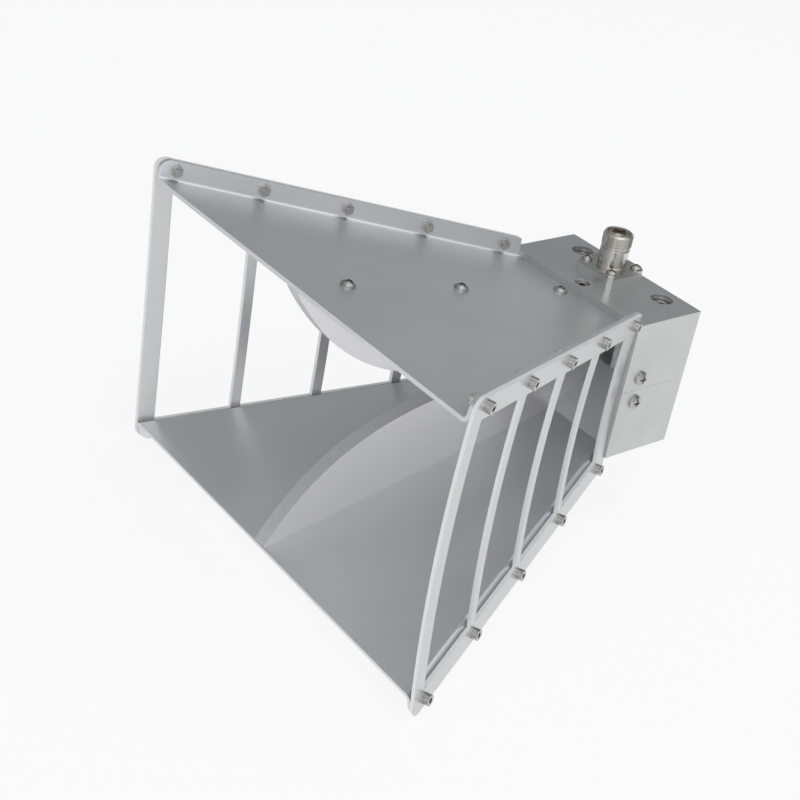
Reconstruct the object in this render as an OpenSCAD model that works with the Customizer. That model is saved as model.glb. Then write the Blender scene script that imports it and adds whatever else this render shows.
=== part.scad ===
// Double-ridged broadband horn antenna.
// Two folded plates and two screwed-on side grids form the flared horn, two exponential
// ridges run down its middle, and a split feed block with a coaxial N socket closes it.
// The mouth faces -Y, +Z is up, and the origin is the middle of the two bracket holes
// on the underside of the feed block.

/* [Horn] */
// Length of the flared part along the axis
horn_l = 179; // [165:1:190]
// Width between the side flanges at the mouth
mouth_w = 237; // [215:1:245]
// Width between the side flanges at the throat
throat_w = 85; // [80:1:86]
// Height over the two plates at the mouth
mouth_h = 142; // [132:1:150]
// Height over the two plates at the throat
throat_h = 70; // [68:0.5:72]
// Thickness of the folded plates
plate_t = 2; // [1.8:0.1:2.2]
// Inside radius of the folds
fold_r = 1.5; // [1:0.1:2]
// Height of the folded flanges above the plate's outer face
flange_h = 10; // [9.5:0.1:11]
// Radius of the free front corners of flanges and grids
corner_r = 5; // [3:0.5:6]

/* [Side grids] */
// Thickness of the grid sheets
grid_t = 2; // [1.5:0.1:2.2]
// Width of the bar at the mouth, along the rail
front_bar_w = 9; // [8:0.5:10]
// Width of the three bars between
bar_w = 5; // [4:0.5:6]
// Width of the bar at the feed block, along the rail
rear_bar_w = 12.8; // [10:0.2:14]
// Distance from the mouth to the first of a rail's five fixing screws
first_screw = 8; // [7:0.5:9]
// Distance from the feed block to the last of them
last_screw = 11.4; // [10:0.2:13]
// Height of the fixing screws above the plate's outer face
screw_h = 5.5; // [5:0.1:5.8]
// Depth by which the windows end inside the plate's outer face
window_in = 0.6; // [0:0.1:1]
// Radius of the slight forward bow of the bars
bow_r = 2400; // [2000:100:3000]

/* [Ridges] */
// Thickness of the ridges
ridge_w = 8; // [7:0.5:10]
// Gap between the ridges at the feed
ridge_gap = 2; // [1.5:0.1:3]
// Height of the ridges' blunt tips at the mouth
tip_h = 0.8; // [0.5:0.1:1.5]
// Distance from the mouth to the first of a ridge's three screws
ridge_first = 30.5; // [26:0.5:36]
// Distance from the feed block to the last of them
ridge_last = 9.5; // [8:0.5:14]

/* [Feed block] */
// Width of the block and its rear cover
block_w = 96; // [94:1:104]
// Height over the two halves
block_h = 78; // [76:1:84]
// Depth of the two halves
block_l = 41; // [40:1:46]
// Thickness of the rear cover
cover_t = 4; // [3:0.5:5]
// Depth at which the sloping cavity ends in an upright wall
wall_at = 29; // [28:0.5:30]
// Half height of that wall and of the pocket in it
pocket_z = 9.2; // [8:0.1:10]
// Width of the pocket
pocket_w = 25; // [20:1:28]
// Depth of the pocket's back from the throat
pocket_at = 35.5; // [34:0.5:36]
// Distance of the two clamp screws from the middle
clamp_x = 30; // [26:1:34]
// Depth of the clamp screws from the throat
clamp_y = 34.5; // [34:0.5:35.5]
// Distance of the ridge's recessed screw from the throat
recess_y = 5.8; // [5:0.1:7]
// Depth of the side screws from the throat
side_y = 11; // [9:0.5:16]
// Height of the side screws above and below the seam
side_z = 7; // [6:0.5:12]
// Depth of the bracket holes from the throat
bracket_y = 18; // [16:1:20]
// Spacing of the bracket holes
bracket_w = 40; // [30:1:50]
// Depth of the bracket holes
bracket_depth = 11; // [8:1:12]

/* [Connector] */
// Distance of the connector's axis from the throat
feed_y = 24.5; // [24:0.5:25.5]
// Side of the square base and connector flange
flange_s = 25.4; // [24:0.1:26]
// Height of the base under the connector
base_h = 6; // [5:0.5:9]
// Thickness of the connector's flange
con_flange_t = 2; // [1.6:0.1:3]
// Chamfer of the upright corners of base and flange
corner_c = 2; // [1:0.1:3]
// Spacing of the four flange screws
flange_pitch = 18.26; // [17.5:0.01:18.5]
// Outer diameter of the threaded part
thread_d = 15.8; // [15.6:0.01:16]
// Diameter of the plain barrel
barrel_d = 15.2; // [14.5:0.1:15.6]
// Height of the whole connector above the base
con_h = 20; // [18:0.5:22]

/* [Screws] */
// Clearance of through holes over the screw
hole_gap = 0.4; // [0.2:0.1:0.6]
// Shank of the small screws: rails, cover and connector
small_d = 3; // [2.5:0.5:3]
// Shank of the ridge and side screws
mid_d = 4; // [3.5:0.5:4]
// Shank of the two clamp screws
clamp_d = 6; // [5:0.5:6]
// Wall diameter of the tapped M6 bracket holes
bracket_d = 5; // [4.8:0.1:5.2]

/* [Hidden] */
$fn = 48;

eps = 0.01;
corner_edge = 0.03;
far = 400;

// The plates' outer faces meet in one line across the axis, behind the throat.
tilt = atan((mouth_h - throat_h) / 2 / horn_l);
meet_y = throat_h / 2 / tan(tilt);
slant_l = horn_l / cos(tilt);
v_throat = throat_h / 2 / sin(tilt);
v_mouth = v_throat + slant_l;
flare = atan((mouth_w - throat_w) / 2 / slant_l);
fold_l = slant_l / cos(flare);
rail_y = horn_l / fold_l;
rail_z = (mouth_h - throat_h) / 2 / fold_l;

plate_in = plate_t / cos(tilt);
cavity_z = throat_h / 2 - plate_in;
mouth_z = mouth_h / 2 - plate_in;
ridge_k = ln((mouth_z - tip_h) / (ridge_gap / 2)) / horn_l;
curve_n = 72;

// Line across the horn about which the side grids are bent.
screw_line_z = throat_h / 2 - plate_t * sin(flare) * sin(tilt) + screw_h * cos(tilt);
screw_line_l = screw_line_z / cos(flare) / sin(tilt);
bend_x = throat_w / 2 + plate_t * cos(flare) - screw_line_l * sin(flare);
bend_y = plate_t * sin(flare) * cos(tilt) + screw_h * sin(tilt)
    + screw_line_l * cos(flare) * cos(tilt);

screw_pitch = (fold_l - first_screw - last_screw) / 4;
screw_at = [for (i = [0:4]) first_screw + i * screw_pitch];
ridge_pitch = (horn_l - ridge_first - ridge_last) / 2;
ridge_screw_at = [for (i = [0:2]) ridge_first + i * ridge_pitch];
cavity_w = throat_w;
slope = (cavity_z - pocket_z) / wall_at;

seat_gap = 0.01;
cap_d = 5.5;
cap_h = 3;
nut_af = 5.5;
nut_h = 2.4;
end_out = 1.2;
pan_d = 7.6;
pan_h = 2.6;
small_pan_d = 5.8;
small_pan_h = 2.1;
plate_screw_l = 12;
recess_d = 7;
recess_h = 4;
recess_bore = 7.8;
recess_depth = 5;
recess_l = 22;
clamp_head_d = 10;
clamp_head_h = 6;
clamp_bore = 11.6;
clamp_depth = 9;
clamp_l = 50;
side_l = 5;
cover_x = block_w / 2 - 6;
cover_z = block_h / 2 - 6;
cover_l = 9;
csk_d = 5.8;
csk_h = 1.6;
flange_screw_l = 15;

sleeve_d = 4.1;
pin_d = 1.3;
pin_in = 6;
seat_h = 5;
dielectric_d = 8.1;
dielectric_h = 6;
mouth_d = 11.8;
mouth_depth = 4;
contact_d = 3;
contact_top = 17;
socket_d = 1.7;
socket_depth = 6;
slit_w = 0.4;
thread_l = 7.2;
groove_l = 1.4;
groove_d = 13.8;
lead = 0.8;

alu = [0.74, 0.75, 0.76];
alu_dark = [0.56, 0.59, 0.60];
alu_light = [0.84, 0.84, 0.86];
steel = [0.80, 0.80, 0.79];
ptfe = [0.95, 0.95, 0.93];
gold = [0.86, 0.68, 0.34];

// ---- frames ----

// From the throat's middle to the bracket holes' middle.
module part_frame() {
    translate([0, -bracket_y, block_h / 2])
        children();
}

// Mirrored copy below the axis.
module below() {
    mirror([0, 0, 1])
        children();
}

// Plane of the top plate's outer face: X across, -Y towards the mouth, Z outwards.
module plate_frame() {
    translate([0, meet_y, 0])
        rotate([-tilt, 0, 0])
            children();
}

// Right fold of the top plate: X outwards, -Y along the fold from throat to mouth.
module fold_frame() {
    plate_frame()
        translate([throat_w / 2, -v_throat, 0])
            rotate([0, 0, flare])
                children();
}

// A flat outline drawn in the YZ plane, made thick across X.
module across(width) {
    rotate([90, 0, 90])
        linear_extrude(height = width, center = true)
            children();
}

// A flat section drawn in the XZ plane, run along -Y.
module along(length) {
    rotate([90, 0, 0])
        linear_extrude(height = length)
            children();
}

// ---- fasteners: head on Z = 0 upwards, shank downwards ----

module cross_recess(size, depth) {
    for (turn = [0, 90])
        rotate([0, 0, turn])
            translate([-size / 2, -size * 0.12, -depth])
                cube([size, size * 0.24, depth + 1]);
}

// Rounded pan head with a cross recess.
module pan_screw(head_d, head_h, shank_d, length) {
    rise = head_h * 0.6;
    ball_r = (pow(head_d / 2, 2) + pow(rise, 2)) / (2 * rise);
    difference() {
        intersection() {
            cylinder(d = head_d, h = head_h);
            translate([0, 0, head_h - ball_r])
                sphere(r = ball_r, $fn = 96);
        }
        translate([0, 0, head_h])
            cross_recess(head_d * 0.56, head_h * 0.6);
    }
    translate([0, 0, -length])
        cylinder(d = shank_d, h = length + eps);
}

// Cylindrical head with a hexagon socket.
module cap_screw(head_d, head_h, shank_d, length) {
    difference() {
        cylinder(d = head_d, h = head_h);
        translate([0, 0, head_h * 0.45])
            cylinder(d = head_d * 0.53, h = head_h, $fn = 6);
    }
    translate([0, 0, -length])
        cylinder(d = shank_d, h = length + eps);
}

// Countersunk head, its flat top on Z = 0.
module flat_screw(head_d, head_h, shank_d, length) {
    difference() {
        translate([0, 0, -head_h])
            cylinder(d1 = shank_d, d2 = head_d, h = head_h);
        cross_recess(head_d * 0.56, head_h * 0.7);
    }
    translate([0, 0, -length])
        cylinder(d = shank_d, h = length - head_h + eps);
}

module nut(across_flats, height, bore_d) {
    difference() {
        cylinder(d = across_flats / cos(30), h = height, $fn = 6);
        translate([0, 0, -1])
            cylinder(d = bore_d, h = height + 2);
    }
}

// ---- folded plates ----

// Section across the fold: plate end, round fold and upright flange.
module fold_section() {
    translate([-fold_r, fold_r])
        intersection() {
            difference() {
                circle(r = fold_r + plate_t);
                circle(r = fold_r);
            }
            translate([0, -fold_r - plate_t])
                square(fold_r + plate_t);
        }
    translate([-fold_r - 1, -plate_t])
        square([1, plate_t]);
    translate([0, fold_r])
        square([plate_t, flange_h + corner_r]);
}

// Outline of plate and flange seen from the side, with the flange's round front corner.
module plate_side_outline() {
    difference() {
        translate([-v_mouth, -plate_t])
            square([slant_l + 3, plate_t + flange_h]);
        translate([-v_mouth, flange_h - corner_r])
            difference() {
                translate([-1, 0])
                    square(corner_r + 1 + eps);
                translate([corner_r, 0])
                    circle(r = corner_r);
            }
    }
}

module flat_of_plate() {
    back = throat_w / 2 - (fold_r + 0.5) / cos(flare);
    front = mouth_w / 2 - (fold_r + 0.5) / cos(flare);
    extra = 3;
    grow = extra * tan(flare);
    translate([0, 0, -plate_t])
        linear_extrude(height = plate_t)
            polygon([
                [-front, -v_mouth], [front, -v_mouth],
                [back - grow, -v_throat + extra], [grow - back, -v_throat + extra]
            ]);
}

module right_fold() {
    intersection() {
        plate_frame()
            across(far)
                plate_side_outline();
        fold_frame()
            translate([0, 20, 0])
                along(fold_l + far / 5)
                    fold_section();
    }
}

// Clearance hole for each screw of one rail, through flange and grid.
module rail_holes() {
    fold_frame()
        for (at = screw_at)
            translate([0, at - fold_l, screw_h])
                rotate([0, 90, 0])
                    cylinder(d = small_d + hole_gap, h = far / 10, center = true);
}

module ridge_screw_places() {
    plate_frame()
        for (at = ridge_screw_at)
            translate([0, -v_mouth + at / cos(tilt), 0])
                children();
}

module folded_plate() {
    difference() {
        intersection() {
            union() {
                plate_frame()
                    flat_of_plate();
                right_fold();
                mirror([1, 0, 0])
                    right_fold();
            }
            translate([-far / 2, -far, -far / 2])
                cube([far, far, far]);
        }
        rail_holes();
        mirror([1, 0, 0])
            rail_holes();
        ridge_screw_places()
            cylinder(d = mid_d + hole_gap, h = 4 * plate_t, center = true);
    }
}

module top_plate() {
    color(alu_dark)
        part_frame()
            folded_plate();
}

module bottom_plate() {
    color(alu)
        part_frame()
            below()
                folded_plate();
}

// ---- side grids ----
// Each flange stands square on its tilted plate, so the two flanges of a side lean away
// from each other. The grid screwed to both is bent between them: it is part of a cone
// about the line across the horn where the two rails' screw lines would meet.

module bent_sheet() {
    r0 = bend_y;
    r1 = bend_y + horn_l + 20;
    reach = tilt + 4;
    skin = grid_t / cos(flare);
    translate([bend_x, bend_y, 0])
        rotate([0, 90, 0])
            rotate([0, 0, -90 - reach])
                rotate_extrude(angle = 2 * reach, $fn = 720)
                    polygon([
                        [r0 - 5, (r0 - 5) * tan(flare)], [r1, r1 * tan(flare)],
                        [r1, r1 * tan(flare) + skin], [r0 - 5, (r0 - 5) * tan(flare) + skin]
                    ]);
}

// Half height of the plates' outer faces at a place along the axis.
function outer_z(y) = throat_h / 2 - y * tan(tilt);

// Centre of the arc that passes a rail at this place along it.
function bow_centre(at) = -horn_l + at * rail_y + sqrt(pow(bow_r, 2) - pow(mouth_h / 2 - at * rail_z, 2));

// Everything behind the bow that crosses the rails at this place.
module behind_bow(at) {
    translate([bow_centre(at), 0])
        intersection() {
            circle(r = bow_r, $fn = 1440);
            translate([-bow_r - 1, -far / 2])
                square([far + bow_r - sqrt(pow(bow_r, 2) - pow(far / 4, 2)), far]);
        }
}

// Wedge between the rails, grown outwards by a margin square to the plate.
module wedge(grow) {
    g = grow / cos(tilt);
    polygon([
        [-horn_l - 20, -outer_z(-horn_l - 20) - g], [0, -outer_z(0) - g],
        [0, outer_z(0) + g], [-horn_l - 20, outer_z(-horn_l - 20) + g]
    ]);
}

// Window between two places along the rails.
module window(from, to) {
    difference() {
        intersection() {
            behind_bow(from);
            wedge(-window_in);
        }
        behind_bow(to);
    }
}

// What the rounded front corner leaves away, beyond a circle that meets both edges.
module corner_cut() {
    front = bow_centre(0) - sqrt(pow(bow_r, 2) - pow(mouth_h / 2 + flange_h, 2));
    cy = front + corner_r;
    cz = outer_z(front) + (flange_h - corner_r) / cos(tilt) - corner_r * tan(tilt);
    translate([cy, cz])
        difference() {
            polygon([
                [0, 0], [-2 * corner_r, 0], [-2 * corner_r, 3 * corner_r],
                [3 * corner_r * sin(tilt), 3 * corner_r * cos(tilt)]
            ]);
            circle(r = corner_r + corner_edge);
        }
}

module grid_outline() {
    bars = [for (i = [1:3]) screw_at[i]];
    starts = concat([front_bar_w], [for (b = bars) b + bar_w / 2]);
    ends = concat([for (b = bars) b - bar_w / 2], [fold_l - rear_bar_w]);
    difference() {
        intersection() {
            behind_bow(0);
            wedge(flange_h);
        }
        for (i = [0:3])
            window(starts[i], ends[i]);
        corner_cut();
        mirror([0, 1])
            corner_cut();
    }
}

module side_grid() {
    difference() {
        intersection() {
            bent_sheet();
            translate([far / 4, 0, 0])
                across(far / 2)
                    grid_outline();
        }
        rail_holes();
        below()
            rail_holes();
    }
}

module right_grid() {
    color(alu_light)
        part_frame()
            side_grid();
}

module left_grid() {
    color(alu_light)
        part_frame()
            mirror([1, 0, 0])
                side_grid();
}

// ---- ridges ----

function ridge_z(y) = ridge_gap / 2 * exp(-ridge_k * y);

// Side view of the upper ridge: exponential edge, level run in the block, sloping heel.
module ridge_outline() {
    polygon(concat(
        [for (i = [0:curve_n]) let (y = -horn_l * pow(1 - i / curve_n, 1.35)) [y, ridge_z(y)]],
        [
            [wall_at, ridge_gap / 2], [wall_at, pocket_z],
            [0, cavity_z], [-horn_l, mouth_z]
        ]
    ));
}

module ridge_body() {
    difference() {
        across(ridge_w)
            ridge_outline();
        ridge_screw_places()
            translate([0, 0, -plate_screw_l])
                cylinder(d = mid_d, h = plate_screw_l);
        translate([0, recess_y, block_h / 2 - recess_depth - recess_l])
            cylinder(d = mid_d, h = recess_l);
    }
}

module top_ridge() {
    color(alu_light)
        part_frame()
            difference() {
                ridge_body();
                translate([0, feed_y, 0])
                    cylinder(d = sleeve_d, h = block_h);
            }
}

module bottom_ridge() {
    color(alu_light)
        part_frame()
            difference() {
                below()
                    ridge_body();
                translate([0, feed_y, -ridge_gap / 2 - pin_in])
                    cylinder(d = pin_d, h = block_h);
            }
}

// ---- feed block ----

// Side view of the cavity's upper half: sloping roof, then an upright wall.
module cavity_outline() {
    polygon([
        [-1, -1], [wall_at, -1], [wall_at, pocket_z], [0, cavity_z], [-1, cavity_z]
    ]);
}

// What the two halves have in common, as the upper one.
module half_block() {
    difference() {
        translate([-block_w / 2, 0, 0])
            cube([block_w, block_l, block_h / 2]);
        across(cavity_w)
            cavity_outline();
        translate([-pocket_w / 2, wall_at - 1, -1])
            cube([pocket_w, pocket_at - wall_at + 1, pocket_z + 1]);
        translate([0, recess_y, 0]) {
            cylinder(d = mid_d + hole_gap, h = block_h);
            translate([0, 0, block_h / 2 - recess_depth])
                cylinder(d = recess_bore, h = block_h);
        }
        for (side = [-1, 1])
            translate([side * block_w / 2, side_y, side_z])
                rotate([0, 90, 0])
                    cylinder(d = mid_d, h = 2 * side_l, center = true);
        for (x = [-cover_x, cover_x])
            translate([x, block_l + cover_t - cover_l, cover_z])
                rotate([-90, 0, 0])
                    cylinder(d = small_d, h = cover_l);
    }
}

module flange_screw_places() {
    for (x = [-1, 1], y = [-1, 1])
        translate([x * flange_pitch / 2, feed_y + y * flange_pitch / 2, 0])
            children();
}

flange_top = block_h / 2 + base_h + con_flange_t;

module upper_block() {
    color(alu_dark)
        part_frame()
            difference() {
                half_block();
                for (x = [-clamp_x, clamp_x])
                    translate([x, clamp_y, 0]) {
                        translate([0, 0, -1])
                            cylinder(d = clamp_d + hole_gap, h = block_h);
                        translate([0, 0, block_h / 2 - clamp_depth])
                            cylinder(d = clamp_bore, h = block_h);
                    }
                translate([0, feed_y, 0])
                    cylinder(d = sleeve_d, h = block_h);
                flange_screw_places()
                    translate([0, 0, flange_top - flange_screw_l])
                        cylinder(d = small_d, h = block_h);
            }
}

module lower_block() {
    color(alu)
        part_frame()
            difference() {
                below()
                    half_block();
                for (x = [-clamp_x, clamp_x])
                    translate([x, clamp_y, block_h / 2 - clamp_depth - clamp_l])
                        cylinder(d = clamp_d, h = block_h);
                for (x = [-1, 1])
                    translate([x * bracket_w / 2, bracket_y, -block_h / 2 - 1])
                        cylinder(d = bracket_d, h = bracket_depth + 1);
            }
}

module rear_cover() {
    color(alu)
        part_frame()
            difference() {
                translate([-block_w / 2, block_l, -block_h / 2])
                    cube([block_w, cover_t, block_h]);
                cover_screw_places() {
                    translate([0, 0, -cover_t - 1])
                        cylinder(d = small_d + hole_gap, h = cover_t + 2);
                    translate([0, 0, -csk_h])
                        cylinder(d1 = small_d, d2 = csk_d, h = csk_h);
                }
            }
}

module cover_screw_places() {
    for (x = [-cover_x, cover_x], z = [-cover_z, cover_z])
        translate([x, block_l + cover_t, z])
            rotate([-90, 0, 0])
                children();
}

// ---- connector ----

// Square with cut corners.
module cut_square() {
    h = flange_s / 2;
    c = h - corner_c;
    polygon([[-h, -c], [-c, -h], [c, -h], [h, -c], [h, c], [c, h], [-c, h], [-h, c]]);
}

module connector_frame() {
    part_frame()
        translate([0, feed_y, block_h / 2 + base_h])
            children();
}

module connector_base() {
    color(alu)
        connector_frame()
            translate([0, 0, -base_h])
                difference() {
                    linear_extrude(height = base_h)
                        cut_square();
                    translate([0, 0, -1])
                        cylinder(d = sleeve_d, h = base_h + 2);
                    flange_holes();
                }
}

module flange_holes() {
    for (x = [-1, 1], y = [-1, 1])
        translate([x * flange_pitch / 2, y * flange_pitch / 2, -1])
            cylinder(d = small_d + hole_gap, h = base_h + 2);
}

// Turned barrel: plain foot, undercut and threaded end with a lead chamfer.
module connector_shell() {
    thread_at = con_h - thread_l;
    color(steel)
        connector_frame()
            difference() {
                union() {
                    difference() {
                        linear_extrude(height = con_flange_t)
                            cut_square();
                        flange_holes();
                    }
                    rotate_extrude($fn = 96)
                        polygon([
                            [0, 0], [barrel_d / 2, 0],
                            [barrel_d / 2, thread_at - groove_l], [groove_d / 2, thread_at - groove_l],
                            [groove_d / 2, thread_at], [thread_d / 2, thread_at],
                            [thread_d / 2, con_h - lead], [thread_d / 2 - lead, con_h], [0, con_h]
                        ]);
                }
                translate([0, 0, -1])
                    cylinder(d = sleeve_d, h = seat_h + 2);
                translate([0, 0, seat_h])
                    cylinder(d = dielectric_d, h = con_h);
                translate([0, 0, con_h - mouth_depth])
                    cylinder(d = mouth_d, h = con_h);
            }
}

module connector_insulator() {
    color(ptfe)
        connector_frame()
            translate([0, 0, seat_h])
                difference() {
                    cylinder(d = dielectric_d, h = dielectric_h);
                    translate([0, 0, -1])
                        cylinder(d = contact_d, h = dielectric_h + 2);
                }
}

// Slit socket that takes the plug's pin.
module centre_contact() {
    color(gold)
        connector_frame()
            difference() {
                translate([0, 0, seat_h])
                    cylinder(d = contact_d, h = contact_top - seat_h);
                translate([0, 0, contact_top - socket_depth])
                    cylinder(d = socket_d, h = con_h);
                for (turn = [0, 90])
                    rotate([0, 0, turn])
                        translate([-contact_d, -slit_w / 2, contact_top - socket_depth * 0.8])
                            cube([2 * contact_d, slit_w, con_h]);
                translate([0, 0, seat_h - 1])
                    cylinder(d = pin_d, h = 4);
            }
}

// Insulating tube from the connector's seat to the lower edge of the top ridge.
module feed_sleeve() {
    sleeve_l = block_h / 2 + base_h + seat_h - ridge_gap / 2;
    color(ptfe)
        connector_frame()
            translate([0, 0, seat_h - sleeve_l])
                difference() {
                    cylinder(d = sleeve_d, h = sleeve_l);
                    translate([0, 0, -1])
                        cylinder(d = pin_d, h = sleeve_l + 2);
                }
}

module feed_pin() {
    pin_l = block_h / 2 + base_h + seat_h + ridge_gap / 2 + pin_in + 3;
    color(gold)
        connector_frame()
            translate([0, 0, seat_h + 3 - pin_l])
                cylinder(d = pin_d, h = pin_l);
}

module connector_screws() {
    color(steel)
        part_frame()
            flange_screw_places()
                translate([0, 0, flange_top])
                    pan_screw(small_pan_d, small_pan_h, small_d, flange_screw_l);
}

// ---- screws and nuts ----

module rail_places() {
    for (half = [0, 1])
        mirror([0, 0, half])
            fold_frame()
                for (at = screw_at)
                    translate([0, at - fold_l, screw_h])
                        rotate([0, 90, 0])
                            children();
}

module rail_screws() {
    rail_places()
        translate([0, 0, plate_t + grid_t + seat_gap])
            cap_screw(cap_d, cap_h, small_d, plate_t + grid_t + seat_gap + nut_h + end_out);
}

module rail_nuts() {
    rail_places()
        translate([0, 0, -nut_h])
            nut(nut_af, nut_h, small_d);
}

module right_grid_screws() {
    color(steel)
        part_frame()
            rail_screws();
}

module left_grid_screws() {
    color(steel)
        part_frame()
            mirror([1, 0, 0])
                rail_screws();
}

module right_grid_nuts() {
    color(steel)
        part_frame()
            rail_nuts();
}

module left_grid_nuts() {
    color(steel)
        part_frame()
            mirror([1, 0, 0])
                rail_nuts();
}

module top_ridge_screws() {
    color(steel)
        part_frame()
            ridge_screw_places()
                pan_screw(pan_d, pan_h, mid_d, plate_screw_l);
}

module bottom_ridge_screws() {
    color(steel)
        part_frame()
            below()
                ridge_screw_places()
                    pan_screw(pan_d, pan_h, mid_d, plate_screw_l);
}

module recessed_screws() {
    color(steel)
        part_frame()
            for (half = [0, 1])
                mirror([0, 0, half])
                    translate([0, recess_y, block_h / 2 - recess_depth])
                        cap_screw(recess_d, recess_h, mid_d, recess_l);
}

module clamp_screws() {
    color(steel)
        part_frame()
            for (x = [-clamp_x, clamp_x])
                translate([x, clamp_y, block_h / 2 - clamp_depth])
                    cap_screw(clamp_head_d, clamp_head_h, clamp_d, clamp_l);
}

module side_screws() {
    color(steel)
        part_frame()
            for (side = [0, 1], z = [-side_z, side_z])
                mirror([side, 0, 0])
                    translate([block_w / 2, side_y, z])
                        rotate([0, 90, 0])
                            pan_screw(pan_d, pan_h, mid_d, side_l);
}

module cover_screws() {
    color(steel)
        part_frame()
            cover_screw_places()
                flat_screw(csk_d, csk_h, small_d, cover_l);
}

top_plate();
bottom_plate();
left_grid();
right_grid();
top_ridge();
bottom_ridge();
upper_block();
lower_block();
rear_cover();
connector_base();
connector_shell();
connector_insulator();
centre_contact();
feed_sleeve();
feed_pin();
connector_screws();
left_grid_screws();
right_grid_screws();
left_grid_nuts();
right_grid_nuts();
top_ridge_screws();
bottom_ridge_screws();
recessed_screws();
clamp_screws();
side_screws();
cover_screws();
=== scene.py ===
import bpy
import numpy as np
from mathutils import Matrix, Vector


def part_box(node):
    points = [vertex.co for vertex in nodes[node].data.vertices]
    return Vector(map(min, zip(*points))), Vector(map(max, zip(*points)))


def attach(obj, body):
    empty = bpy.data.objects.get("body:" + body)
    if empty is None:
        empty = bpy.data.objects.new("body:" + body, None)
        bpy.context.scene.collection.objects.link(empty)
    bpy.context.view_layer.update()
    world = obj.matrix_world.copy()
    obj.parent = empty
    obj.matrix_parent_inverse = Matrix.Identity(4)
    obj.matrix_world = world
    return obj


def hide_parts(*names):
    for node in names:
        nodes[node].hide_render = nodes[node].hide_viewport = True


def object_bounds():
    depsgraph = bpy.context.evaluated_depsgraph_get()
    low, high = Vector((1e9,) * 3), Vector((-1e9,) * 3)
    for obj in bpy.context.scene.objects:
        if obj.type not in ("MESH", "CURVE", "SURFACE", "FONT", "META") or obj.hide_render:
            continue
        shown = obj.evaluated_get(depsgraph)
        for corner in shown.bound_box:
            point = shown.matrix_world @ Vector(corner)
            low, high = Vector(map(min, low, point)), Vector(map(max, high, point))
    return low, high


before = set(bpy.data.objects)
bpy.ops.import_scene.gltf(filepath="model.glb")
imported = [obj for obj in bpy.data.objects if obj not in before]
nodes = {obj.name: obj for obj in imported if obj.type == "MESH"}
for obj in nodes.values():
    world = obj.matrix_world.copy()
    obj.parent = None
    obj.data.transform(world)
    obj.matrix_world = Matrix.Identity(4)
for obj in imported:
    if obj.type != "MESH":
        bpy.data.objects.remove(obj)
cad_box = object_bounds()

# ---- Top and bottom plates ----
# Rolled aluminium sheet, 2 mm thick, cut as a trapezium with both slanted sides folded up
# as flanges. The sheet keeps the fine lengthwise grain of the rolling mill and a satin sheen.


class Signal:
    """A shader socket that takes part in sums and products, each of which adds a Math node."""

    def __init__(self, shading, socket):
        self.shading = shading
        self.socket = socket

    def math(self, operation, *values):
        return self.shading.node("ShaderNodeMath", {"operation": operation}, dict(enumerate(values)))

    def __add__(self, other):
        return self.math("ADD", self, other)

    __radd__ = __add__

    def __rsub__(self, other):
        return self.math("SUBTRACT", other, self)

    def __mul__(self, other):
        return self.math("MULTIPLY", self, other)

    __rmul__ = __mul__

    def absolute(self):
        return self.math("ABSOLUTE", self)

    def ramp(self, low, high):
        """0 below low, 1 above high and a soft S between them."""
        settings = {"interpolation_type": "SMOOTHSTEP"}
        return self.shading.node("ShaderNodeMapRange", settings, {"Value": self, "From Min": low, "From Max": high})


class Shading:
    """The node tree of one material or of the sky."""

    def __init__(self, tree):
        self.tree = tree

    def node(self, kind, settings=None, values=None, output=0):
        """Adds a node, applies its settings, then sets or links its sockets; gives one output.

        The setting called stops holds the places and colours of a colour ramp, in order.
        """
        made = self.tree.nodes.new(kind)
        for key, value in (settings or {}).items():
            if key == "stops":
                elements = made.color_ramp.elements
                for at, _ in value[1:-1]:
                    elements.new(at)
                for element, (at, color) in zip(elements, value):
                    element.position = at
                    element.color = (*color, 1.0)
            else:
                setattr(made, key, value)
        for key, value in (values or {}).items():
            if isinstance(value, Signal):
                self.tree.links.new(value.socket, made.inputs[key])
            else:
                made.inputs[key].default_value = value
        return Signal(self, made.outputs[output])

    def blend(self, amount, first, second):
        """Colour mix from first to second."""
        first, second = (c if isinstance(c, Signal) else (*c, 1.0) for c in (first, second))
        return self.node("ShaderNodeMix", {"data_type": "RGBA"}, {0: amount, 6: first, 7: second}, output=2)


class Finish(Shading):
    """One material: a Principled shader and the nodes that feed it."""

    def __init__(self, name, color, metallic=1.0):
        self.material = bpy.data.materials.new(name)
        self.material.use_nodes = True
        super().__init__(self.material.node_tree)
        self.shader = self.tree.nodes["Principled BSDF"]
        self.shader.inputs["Base Color"].default_value = (*color, 1.0)
        self.shader.inputs["Metallic"].default_value = metallic
        self.place = self.node("ShaderNodeTexCoord", output="Object")

    def grain(self, scale, detail):
        """Noise from 0 to 1 whose grain is 1/scale metres along each axis."""
        stretched = self.node("ShaderNodeMapping", None, {"Vector": self.place, "Scale": scale})
        values = {"Vector": stretched, "Scale": 1.0, "Detail": detail, "Roughness": 0.55}
        return self.node("ShaderNodeTexNoise", None, values)

    def facing(self, axis):
        """How squarely the surface faces along that axis, from 0 to 1."""
        normal = self.node("ShaderNodeNewGeometry", output="Normal")
        return self.node("ShaderNodeSeparateXYZ", None, {0: normal}, output=axis).absolute()

    def feed(self, **sockets):
        """Links signals to the shader; underscores in a name stand for spaces."""
        for name, value in sockets.items():
            self.tree.links.new(value.socket, self.shader.inputs[name.replace("_", " ")])

    def relief(self, height, depth, edge_radius=0.0003):
        """Bump of that depth in metres over edges softened by that radius."""
        rounded = self.node("ShaderNodeBevel", {"samples": 4}, {"Radius": edge_radius})
        values = {"Height": height, "Distance": depth, "Strength": 1.0, "Normal": rounded}
        self.feed(Normal=self.node("ShaderNodeBump", None, values))


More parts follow.
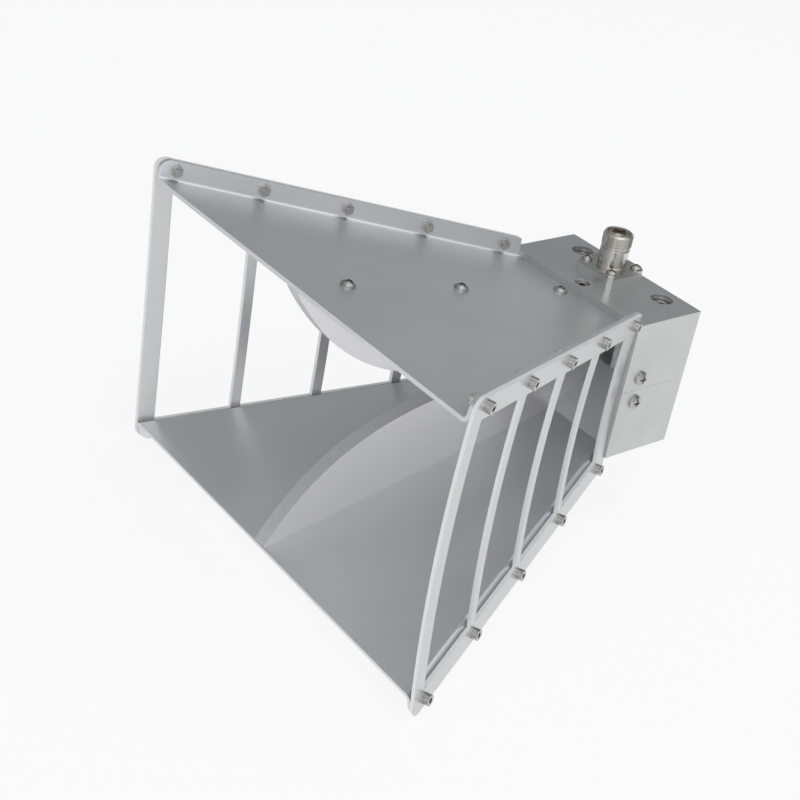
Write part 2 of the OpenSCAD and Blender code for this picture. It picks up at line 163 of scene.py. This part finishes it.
def coat(finish, *names):
    """Puts a finish on the shown objects of these CAD nodes."""
    for name in names:
        slots = nodes[name].material_slots
        for slot in slots:
            slot.material = finish.material
        if not slots:
            nodes[name].data.materials.append(finish.material)


def make_sheet():
    tint = (0.70, 0.715, 0.725)
    tint_dull = (0.62, 0.64, 0.65)
    sheet = Finish("rolled_sheet", tint, metallic=0.85)
    lines = sheet.grain((900, 14, 900), detail=4)
    clouds = sheet.grain((14, 9, 14), detail=3)
    cut_edge = sheet.facing("Y").ramp(0.8, 0.95)
    sheet.feed(Base_Color=sheet.blend(clouds.ramp(0.3, 0.7) * 0.6 + cut_edge * 0.1, tint, tint_dull))
    sheet.feed(Roughness=0.24 + 0.12 * lines + 0.1 * clouds + 0.1 * cut_edge)
    sheet.relief(lines, 0.000012)
    return sheet


coat(make_sheet(), "top_plate", "bottom_plate")

# ---- Side grids ----
# One flat-cut aluminium sheet a side, screwed to both leaning flanges, so it bends between
# them. The cutter leaves finely ribbed edges, painted near white as their matt cut finish plus a
# painted highlight of the light they catch; the faces keep a light satin.


def make_grid():
    face_tint = (0.62, 0.63, 0.635)
    # Near-white edge colour: the cut edges' own matt finish plus a painted highlight.
    edge_tint = (0.93, 0.93, 0.94)
    grid = Finish("cut_grid_sheet", face_tint)
    edge = 1 - grid.facing("X").ramp(0.3, 0.6)
    ribs = grid.grain((60, 1500, 1500), detail=2)
    satin = grid.grain((500, 20, 500), detail=4)
    # Edges blend to that near white and lose metallic, a painted highlight over their cut finish.
    grid.feed(Base_Color=grid.blend(edge * (0.6 + 0.4 * ribs), face_tint, edge_tint))
    grid.feed(Roughness=0.26 + 0.14 * satin + 0.16 * edge, Metallic=0.75 - 0.5 * edge)
    grid.relief(edge * ribs * 2.5 + (1 - edge) * satin * 0.4, 0.00003)
    return grid


coat(make_grid(), "left_grid", "right_grid")

# ---- Ridges ----
# Two 8 mm aluminium plates with an exponential edge, milled on the edge with the cutter's
# ribs across it and left with a fine satin on the flat sides.


def make_ridge():
    side_tint = (0.84, 0.825, 0.85)
    edge_tint = (0.50, 0.525, 0.51)
    ridge = Finish("milled_ridge", side_tint, metallic=0.65)
    edge = 1 - ridge.facing("X").ramp(0.3, 0.7)
    ribs = ridge.grain((40, 1100, 1100), detail=2)
    specks = ridge.grain((900, 900, 900), detail=3)
    satin = ridge.grain((900, 60, 500), detail=4)
    ridge.feed(Base_Color=ridge.blend(edge * (0.5 + 0.5 * specks), side_tint, edge_tint))
    ridge.feed(Roughness=0.3 + 0.14 * satin + 0.14 * edge)
    ridge.relief(edge * (ribs * 1.6 + specks) + (1 - edge) * satin * 0.4, 0.00003)
    return ridge


coat(make_ridge(), "top_ridge", "bottom_ridge")

# ---- Feed block, rear cover and connector base ----
# The block is milled in two halves that meet on the horn's middle plane, the cover and the
# connector's base are milled plates. All keep the cutter's faint straight passes.


def make_block():
    tint = (0.60, 0.61, 0.605)
    tint_dull = (0.53, 0.545, 0.54)
    block = Finish("milled_block", tint, metallic=0.8)
    passes = block.grain((12, 700, 700), detail=3)
    clouds = block.grain((20, 20, 20), detail=3)
    block.feed(Base_Color=block.blend(clouds.ramp(0.35, 0.65) * 0.6, tint, tint_dull))
    block.feed(Roughness=0.24 + 0.1 * passes + 0.1 * clouds)
    block.relief(passes, 0.000010, edge_radius=0.0004)
    return block


coat(make_block(), "upper_block", "lower_block", "rear_cover", "connector_base")

# ---- Connector ----
# The shell is turned brass with bright nickel on it: a square flange, a plain barrel, an
# undercut and a 24-turns-an-inch thread. Inside stand a white insulator and a gilt contact.


def make_nickel():
    nickel = Finish("nickel_plate", (0.60, 0.585, 0.55))
    turning = nickel.grain((120, 120, 5000), detail=2)
    clouds = nickel.grain((200, 200, 200), detail=3)
    nickel.feed(Roughness=0.12 + 0.1 * turning + 0.08 * clouds)
    nickel.relief(turning, 0.000004, edge_radius=0.0002)
    return nickel


nickel = make_nickel()


def connector_shell():
    """Radius of the shell as a function of turn and row.

    Each row of the profile has a height and a radius. The two rows of the flange follow a
    square with cut corners instead: half the side over the larger of the two cosines,
    limited by the corner line. The threaded rows follow a triangle wave of height over
    pitch less the turn, faded in where the thread begins.
    """
    low, high = (np.array(c) * 1000 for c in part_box("connector_shell"))
    axis = (low + high)[:2] / 2
    foot, tall = low[2], high[2] - low[2]
    half = (high[0] - low[0]) / 2
    corner, flange, soft = 2.0, 2.0, 0.15
    barrel, groove, crest, root = 7.6, 6.9, 7.9, 7.28
    thread, undercut, lead = 7.2, 1.4, 0.8
    mouth, mouth_depth, bore, seat, tube = 5.9, 4.0, 4.05, 5.0, 2.05
    fillet, chamfer, step = 0.2, 0.1, 0.02
    thread_at = tall - thread
    groove_at = thread_at - undercut

    square, plain = 1.0, 0.0
    below = [
        (0, tube, plain), (0, half - soft, square), (soft, half, square), (flange - soft, half, square),
        (flange, half - soft, square), (flange, barrel + fillet, plain), (flange + fillet, barrel, plain),
        (groove_at - chamfer, barrel, plain), (groove_at, barrel - chamfer, plain),
        (groove_at + step, groove, plain), (thread_at - step, groove, plain),
        (thread_at, crest - 0.3, plain), (thread_at + chamfer, root, plain),
    ]
    above = [
        (tall - lead + 0.05, crest - 0.25, plain), (tall - chamfer, crest - lead, plain),
        (tall, crest - lead - chamfer, plain), (tall, mouth + chamfer, plain), (tall - chamfer, mouth, plain),
        (tall - mouth_depth, mouth, plain), (tall - mouth_depth, bore, plain), (seat, bore, plain),
        (seat, tube, plain),
    ]
    thread_rows = 84
    thread_z = np.linspace(thread_at + chamfer + step, tall - lead, thread_rows)
    profile = [*below, *((z, crest, plain) for z in thread_z), *above]
    z, r, is_square = np.array(profile).T

    turns = 224
    angle = np.linspace(0, 2 * np.pi, turns, endpoint=False)
    c, s = np.abs(np.cos(angle)), np.abs(np.sin(angle))
    outline = np.minimum(1 / np.maximum(c, s), (2 - corner / half) / (c + s))
    radius = r[:, None] * np.where(is_square[:, None] > 0, outline[None, :], 1.0)

    pitch = 25.4 / 24
    steepness, land, run_in, first_height = 2.5, 0.15, 0.5, 0.3
    phase = (thread_z[:, None] / pitch - angle[None, :] / (2 * np.pi)) % 1.0
    wave = np.clip(np.abs(phase - 0.5) * steepness - land, 0, 1)
    ends = np.minimum((thread_z - thread_z[0]) / run_in, 1)[:, None]
    height = wave * ends + (1 - ends) * first_height
    radius[len(below):len(below) + thread_rows] = root + (crest - root) * height

    x = axis[0] + radius * np.cos(angle)
    y = axis[1] + radius * np.sin(angle)
    points = np.stack([x, y, np.broadcast_to(z[:, None] + foot, x.shape)], axis=-1) / 1000
    return points, len(profile), turns


def closed_skin(name, points, rows, turns):
    """Mesh of a grid of points that closes on itself along both of its directions."""
    row, turn = np.meshgrid(np.arange(rows), np.arange(turns), indexing="ij")
    next_row, next_turn = (row + 1) % rows, (turn + 1) % turns
    quads = np.stack([row * turns + turn, row * turns + next_turn,
                      next_row * turns + next_turn, next_row * turns + turn], axis=-1).reshape(-1, 4)
    mesh = bpy.data.meshes.new(name)
    mesh.from_pydata(points.reshape(-1, 3).tolist(), [], quads.tolist())
    mesh.shade_smooth()
    made = bpy.data.objects.new(name, mesh)
    bpy.context.scene.collection.objects.link(made)
    return made


shell = closed_skin("threaded_shell", *connector_shell())
shell.data.set_sharp_from_angle(angle=0.6)
shell.data.materials.append(nickel.material)
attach(shell, "root")
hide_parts("connector_shell")


def make_insulator():
    white, shaded = (0.86, 0.86, 0.83), (0.78, 0.78, 0.74)
    ptfe = Finish("white_insulator", white, metallic=0.0)
    clouds = ptfe.grain((300, 300, 300), detail=2)
    ptfe.feed(Base_Color=ptfe.blend(clouds, white, shaded))
    ptfe.feed(Roughness=0.42 + 0.16 * clouds)
    ptfe.relief(clouds, 0.00001, edge_radius=0.0001)
    return ptfe


coat(make_insulator(), "connector_insulator", "feed_sleeve")


def make_gilt():
    gilt = Finish("gilt_contact", (0.86, 0.66, 0.30))
    turning = gilt.grain((200, 200, 4000), detail=2)
    gilt.feed(Roughness=0.16 + 0.12 * turning)
    gilt.relief(turning, 0.000003, edge_radius=0.0001)
    return gilt


coat(make_gilt(), "centre_contact", "feed_pin")

# ---- Screws and nuts ----
# Stainless machine screws: socket caps and nuts along the rails, cross-recessed pan heads on
# the plates, block and connector, and sunk caps in the block. Cold-forged, tumbled bright.


def make_stainless():
    bright, dull = (0.48, 0.475, 0.46), (0.34, 0.335, 0.32)
    steel = Finish("stainless_screws", bright)
    clouds = steel.grain((700, 700, 700), detail=3)
    steel.feed(Base_Color=steel.blend(clouds.ramp(0.4, 0.75), bright, dull))
    steel.feed(Roughness=0.14 + 0.2 * clouds)
    steel.relief(clouds, 0.00001, edge_radius=0.00025)
    return steel


coat(
    make_stainless(), "connector_screws", "left_grid_screws", "right_grid_screws", "left_grid_nuts",
    "right_grid_nuts", "top_ridge_screws", "bottom_ridge_screws", "recessed_screws", "clamp_screws",
    "side_screws", "cover_screws",
)

# ---- Floor and light ----
# A plain white floor under the horn, a grey sky that is brighter at the horizon and on the
# side of the mouth, and two large soft lamps. Floor and sky are white to the eye.


def make_floor():
    size, drop, whiteness = 40.0, 0.002, 0.85
    level = cad_box[0][2] - drop
    mesh = bpy.data.meshes.new("floor")
    corners = np.array([[-1, -1], [1, -1], [1, 1], [-1, 1]]) * size
    mesh.from_pydata([(x, y, level) for x, y in corners], [], [(0, 1, 2, 3)])
    floor = bpy.data.objects.new("floor", mesh)
    bpy.context.scene.collection.objects.link(floor)
    paint = Finish("floor_white", (0.96, 0.96, 0.96), metallic=0.0)
    paint.shader.inputs["Roughness"].default_value = 0.9
    camera_ray, glossy_ray, through_ray = (
        paint.node("ShaderNodeLightPath", output=name)
        for name in ("Is Camera Ray", "Is Glossy Ray", "Is Transmission Ray")
    )
    glow = whiteness * camera_ray + glossy_ray.math("MAXIMUM", glossy_ray, through_ray)
    lit = Signal(paint, paint.shader.outputs[0])
    white = paint.node("ShaderNodeEmission", None, {"Strength": 1.0})
    mix = paint.node("ShaderNodeMixShader", None, {0: glow, 1: lit, 2: white})
    paint.tree.links.new(mix.socket, paint.tree.nodes["Material Output"].inputs["Surface"])
    mesh.materials.append(paint.material)


make_floor()


def make_sky():
    """Colour by height over the horizon, then by how far the sky lies toward the mouth's side."""
    horizon, haze, grey, zenith = (0.70, 0.71, 0.72), (0.36, 0.38, 0.385), (0.22, 0.24, 0.24), (0.50, 0.51, 0.52)
    mouth_side, white = (0.72, 0.72, 0.73), (1.0, 1.0, 1.0)
    world = bpy.data.worlds.new("studio")
    bpy.context.scene.world = world
    world.use_nodes = True
    sky = Shading(world.node_tree)
    way = sky.node("ShaderNodeTexCoord", output="Generated")
    height = sky.node("ShaderNodeSeparateXYZ", None, {0: way}, output="Z")
    stops = ((0.0, horizon), (0.1, haze), (0.45, grey), (1.0, zenith))
    color = sky.node("ShaderNodeValToRGB", {"stops": stops}, {0: height})
    toward_mouth = {0: way, 1: (0.70, -0.71, 0.0)}
    side = sky.node("ShaderNodeVectorMath", {"operation": "DOT_PRODUCT"}, toward_mouth, output="Value")
    color = sky.blend(side.ramp(-0.1, 0.6), color, mouth_side)
    color = sky.blend(sky.node("ShaderNodeLightPath", output="Is Camera Ray"), color, white)
    sky.tree.links.new(color.socket, sky.tree.nodes["Background"].inputs["Color"])


make_sky()


def stand(made, place, aim, roll=0.0):
    """Puts a lamp or camera at place, facing aim, turned about its axis by roll degrees."""
    back = np.array(place) - np.array(aim)
    back = back / np.linalg.norm(back)
    level = np.cross([0, 0, 1], back)
    level = level / np.linalg.norm(level)
    right = np.cos(np.radians(roll)) * level + np.sin(np.radians(roll)) * np.cross(back, level)
    matrix = np.eye(4)
    matrix[:3] = np.column_stack([right, np.cross(back, right), back, place])
    made.matrix_world = Matrix(matrix.tolist())
    bpy.context.scene.collection.objects.link(made)


def soft_lamp(name, place, aim, size, power):
    """A square lamp of that size in metres and power in watts."""
    lamp = bpy.data.lights.new(name, "AREA")
    lamp.size = size
    lamp.energy = power
    stand(bpy.data.objects.new(name, lamp), place, aim)


soft_lamp("overhead", place=(0.6, 0.2, 1.9), aim=(0, -0.1, 0), size=2.0, power=10)
soft_lamp("mouth", place=(1.4, -1.5, 0.9), aim=(0, -0.1, 0.03), size=1.8, power=9)

# ---- Camera ----
# A long lens looks down on the horn from the right of its mouth, rolled a little.


def make_camera():
    camera = bpy.data.cameras.new("camera")
    camera.lens = 66.19
    camera.sensor_width = 36
    camera.clip_start = 0.01
    made = bpy.data.objects.new("camera", camera)
    stand(made, place=(0.45779, -0.54177, 0.39302), aim=(0.01078, -0.13327, 0.04187), roll=10.141)
    bpy.context.scene.camera = made


make_camera()

bpy.context.scene.view_settings.view_transform = "Standard"
